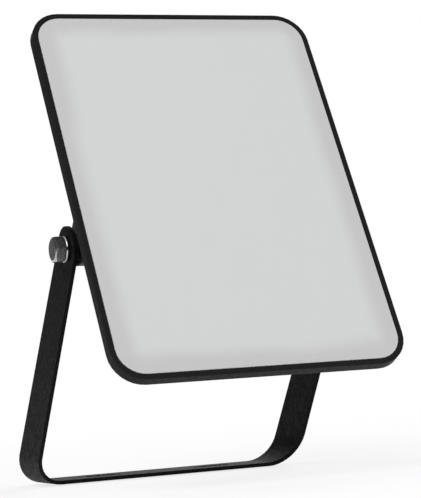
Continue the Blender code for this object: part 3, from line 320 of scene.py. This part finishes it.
def powder_coat(name, finish, specular):
    """Baked powder paint: orange peel, a fine grain and slightly uneven gloss."""
    material, tree, shader = new_material(name, finish.rough_high)
    place = object_place(tree)
    cloud = noise(tree, place, PAINT_CLOUD_SIZE)
    peel = noise(tree, place, PAINT_PEEL_SIZE, PAINT_PEEL_DETAIL)
    grain = noise(tree, place, PAINT_GRAIN_SIZE)
    colour_and_gloss(tree, shader, finish, cloud, peel)
    shader.inputs["Specular IOR Level"].default_value = specular
    relief(tree, shader, ((peel, PAINT_PEEL_DEPTH), (grain, PAINT_GRAIN_DEPTH)))
    return material


def head_place(tree):
    """Position upright about the tilt axis: the lean is taken out of the place."""
    moved = add_node(tree, "ShaderNodeMapping", vector_type="POINT")
    turned = add_node(tree, "ShaderNodeMapping", vector_type="POINT")
    join(tree, object_place(tree), moved.inputs["Vector"])
    moved.inputs["Location"].default_value = -PIVOT
    join(tree, moved.outputs["Vector"], turned.inputs["Vector"])
    turned.inputs["Rotation"].default_value = (HEAD_LEAN, 0, 0)
    return turned.outputs["Vector"]


def diffuser_outline():
    """Half the diffuser's width and height, and how far its middle is above the axis."""
    turn = Matrix.Rotation(HEAD_LEAN, 3, "X")
    solid = frame["nodes"]["diffuser"].data
    points = [turn @ (vertex.co - PIVOT) for vertex in solid.vertices]
    half_width = max(point.x for point in points)
    highest = max(point.z for point in points)
    lowest = min(point.z for point in points)
    return half_width, (highest - lowest) / 2, (highest + lowest) / 2


def depth_from_edge(tree, place):
    """How far a point of the diffuser lies inside its rounded outline, in metres."""
    half_width, half_height, middle_up = diffuser_outline()
    parts = add_node(tree, "ShaderNodeSeparateXYZ")
    join(tree, place, parts.inputs["Vector"])
    across = maths(tree, "ABSOLUTE", parts.outputs["X"])
    centred = maths(tree, "SUBTRACT", parts.outputs["Z"], middle_up)
    upward = maths(tree, "ABSOLUTE", centred)
    beyond_x = maths(tree, "SUBTRACT", across, half_width - DIFFUSER_CORNER)
    beyond_z = maths(tree, "SUBTRACT", upward, half_height - DIFFUSER_CORNER)
    square_x = maths(tree, "POWER", maths(tree, "MAXIMUM", beyond_x, 0.0), 2.0)
    square_z = maths(tree, "POWER", maths(tree, "MAXIMUM", beyond_z, 0.0), 2.0)
    corner = maths(tree, "SQRT", maths(tree, "ADD", square_x, square_z))
    inner = maths(tree, "MINIMUM", maths(tree, "MAXIMUM", beyond_x, beyond_z), 0.0)
    signed = maths(tree, "ADD", corner, inner)
    return maths(tree, "SUBTRACT", DIFFUSER_CORNER, signed)


def opal_diffuser():
    """Opal sheet: milky, with painted shade making it a little darker towards its edge."""
    material, tree, shader = new_material("diffuser_opal", OPAL.rough_high)
    cloud = noise(tree, object_place(tree), OPAL_CLOUD_SIZE)
    grain = noise(tree, object_place(tree), OPAL_GRAIN_SIZE)
    wander = spread_noise(tree, cloud, -OPAL_PAINTED_SHADE_WANDER, OPAL_PAINTED_SHADE_WANDER)
    depth = maths(tree, "ADD", depth_from_edge(tree, head_place(tree)), wander)
    # Painted shade: the colour darkens from the sheet's middle towards its edge
    share = spread(tree, depth, OPAL_PAINTED_SHADE_START, OPAL_PAINTED_SHADE_END, 0.0, 1.0)
    colour_and_gloss(tree, shader, OPAL, share, grain)
    shader.inputs["Specular IOR Level"].default_value = OPAL_SPECULAR
    relief(tree, shader, ((grain, OPAL_GRAIN_DEPTH),))
    return material


def bright_metal(name, finish):
    """Bare or plated metal: small blotches, a fine grain and worn gloss."""
    material, tree, shader = new_material(name, finish.rough_high, metallic=1.0)
    place = object_place(tree)
    blotch = noise(tree, place, METAL_BLOTCH_SIZE, METAL_BLOTCH_DETAIL)
    grain = noise(tree, place, METAL_GRAIN_SIZE)
    colour_and_gloss(tree, shader, finish, blotch, grain)
    relief(tree, shader, ((blotch, METAL_BLOTCH_DEPTH), (grain, METAL_GRAIN_DEPTH)))
    return material


def moulded(name, finish, mould_grain):
    """Moulded plastic, rubber or ceramic with the fine grain of its mould."""
    material, tree, shader = new_material(name, finish.rough_high)
    place = object_place(tree)
    cloud = noise(tree, place, MOULDED_CLOUD_SIZE)
    grain = noise(tree, place, mould_grain.size)
    colour_and_gloss(tree, shader, finish, cloud, grain)
    relief(tree, shader, ((grain, mould_grain.depth),))
    return material


def all_materials():
    """Every material slot with its finish."""
    made = {"diffuser_opal": opal_diffuser()}
    for slot, (finish, specular) in PAINTS.items():
        made[slot] = powder_coat(slot, finish, specular)
    for slot, finish in METALS.items():
        made[slot] = bright_metal(slot, finish)
    for slot, (finish, grain) in MOULDINGS.items():
        made[slot] = moulded(slot, finish, grain)
    return made


# Pieces

def new_object(name, data):
    made = bpy.data.objects.new(name, data)
    bpy.context.scene.collection.objects.link(made)
    return made


def slot_of(node):
    return frame["nodes"][node].material_slots[0].material.name.split(".")[0]


def smooth_mesh(mesh):
    """Join the mesh's points, so that round faces shade smooth and flats stay flat."""
    shape = bmesh.new()
    shape.from_mesh(mesh)
    bmesh.ops.remove_doubles(shape, verts=shape.verts, dist=WELD)
    bmesh.ops.dissolve_limit(
        shape, angle_limit=FLAT_ANGLE, verts=shape.verts, edges=shape.edges)
    for face in shape.faces:
        face.smooth = True
    shape.to_mesh(mesh)
    shape.free()
    if "custom_normal" in mesh.attributes:
        mesh.attributes.remove(mesh.attributes["custom_normal"])
    mesh.set_sharp_from_angle(angle=SMOOTH_ANGLE)


def break_edges(piece, width):
    edges = piece.modifiers.new("Edges", "BEVEL")
    edges.width = width
    edges.segments = BROKEN_EDGE_STEPS
    edges.limit_method = "ANGLE"
    edges.angle_limit = BROKEN_EDGE_ANGLE


def smooth_piece(node, material):
    """A smooth copy of the solid, in its place."""
    solid = frame["nodes"][node]
    mesh = solid.data.copy()
    smooth_mesh(mesh)
    mesh.materials.clear()
    mesh.materials.append(material)
    piece = new_object(node + "_look", mesh)
    if node in BROKEN_EDGES:
        break_edges(piece, BROKEN_EDGES[node])
    normals = piece.modifiers.new("Normals", "WEIGHTED_NORMAL")
    normals.keep_sharp = True
    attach(piece, solid["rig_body"])
    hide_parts(node)


def dress_nodes(materials):
    for node, solid in frame["nodes"].items():
        slot = slot_of(node)
        if node in SHADED_SMOOTH:
            smooth_piece(node, materials[slot])
        else:
            solid.material_slots[0].material = materials[slot]


# Studio

def turn_to_set(made, front):
    """Point the front axis of a lamp or card at the middle of the set."""
    towards = Vector(SET_MIDDLE) - made.location
    made.rotation_euler = towards.to_track_quat(front, "Y").to_euler()


def flat_card(name, width, height):
    """A flat rectangle about its own middle, scaled from a square of side 1."""
    shape = bmesh.new()
    bmesh.ops.create_grid(shape, x_segments=1, y_segments=1, size=1 / 2)
    bmesh.ops.scale(shape, vec=(width, height, 1), verts=shape.verts)
    mesh = bpy.data.meshes.new(name)
    shape.to_mesh(mesh)
    shape.free()
    return new_object(name, mesh)


def white_to_the_eye(tree, elsewhere):
    """White where a surface is seen or mirrored, and another value elsewhere."""
    path = add_node(tree, "ShaderNodeLightPath")
    seen = maths(tree, "MAXIMUM", path.outputs["Is Camera Ray"], path.outputs["Is Glossy Ray"])
    seen = maths(tree, "MAXIMUM", seen, path.outputs["Is Transmission Ray"])
    return spread(tree, seen, 0.0, 1.0, elsewhere, SEEN_WHITE)


def make_world():
    world = bpy.data.worlds.new("studio")
    bpy.context.scene.world = world
    world.use_nodes = True
    tree = world.node_tree
    background = tree.nodes["Background"]
    background.inputs["Color"].default_value = WHITE
    join(tree, white_to_the_eye(tree, WORLD_STRENGTH), background.inputs["Strength"])


def floor_paper():
    """White paper to the eye, dimmer near the object, where its soft shadow is left."""
    material = bpy.data.materials.new("floor_paper")
    material.use_nodes = True
    tree = material.node_tree
    tree.nodes.remove(tree.nodes["Principled BSDF"])
    paper = add_node(tree, "ShaderNodeBsdfDiffuse")
    paper.inputs["Color"].default_value = FLOOR_PAPER
    glow = add_node(tree, "ShaderNodeEmission")
    glow.inputs["Strength"].default_value = SEEN_WHITE
    length = add_node(tree, "ShaderNodeVectorMath", operation="LENGTH")
    join(tree, object_place(tree), length.inputs[0])
    fade = spread(
        tree, length.outputs["Value"], FLOOR_FADE_START, FLOOR_FADE_END,
        FLOOR_GLOW_NEAR, FLOOR_GLOW_FAR)
    share = maths(tree, "MULTIPLY", white_to_the_eye(tree, 0.0), fade)
    mix = add_node(tree, "ShaderNodeMixShader")
    join(tree, share, mix.inputs[0])
    join(tree, paper.outputs[0], mix.inputs[1])
    join(tree, glow.outputs[0], mix.inputs[2])
    join(tree, mix.outputs[0], tree.nodes["Material Output"].inputs["Surface"])
    return material


def make_floor():
    floor = flat_card("floor", FLOOR_SIZE, FLOOR_SIZE)
    floor.location = (0, 0, -FLOOR_DROP)
    floor.data.materials.append(floor_paper())


def make_lamp(lamp):
    light = bpy.data.lights.new(lamp.name, "AREA")
    light.shape = "DISK"
    light.size = lamp.size
    light.energy = lamp.power
    made = new_object(lamp.name, light)
    made.location = lamp.place
    turn_to_set(made, "-Z")


def make_flag(card):
    """A dark card that only gloss sees, so that black paint and steel mirror it."""
    flag = flat_card(card.name, card.width, card.height)
    flag.location = card.place
    turn_to_set(flag, "Z")
    material = bpy.data.materials.new(card.name + "_cloth")
    material.use_nodes = True
    shader = material.node_tree.nodes["Principled BSDF"]
    shader.inputs["Base Color"].default_value = grey(FLAG_TONE)
    flag.data.materials.append(material)
    flag.visible_camera = False
    flag.visible_diffuse = False
    flag.visible_shadow = False


def make_camera():
    data = bpy.data.cameras.new("camera")
    data.lens = CAMERA_LENS
    data.sensor_width = SENSOR_SIZE
    data.shift_x = SHIFT_SIDEWAYS
    data.shift_y = SHIFT_UP
    camera = new_object("camera", data)
    camera.location = CAMERA_PLACE
    camera.rotation_euler = [math.radians(angle) for angle in CAMERA_TURN]
    bpy.context.scene.camera = camera


dress_nodes(all_materials())
make_world()
make_floor()
for lamp in LAMPS:
    make_lamp(lamp)
for card in FLAGS:
    make_flag(card)
make_camera()
bpy.context.scene.view_settings.view_transform = "Standard"
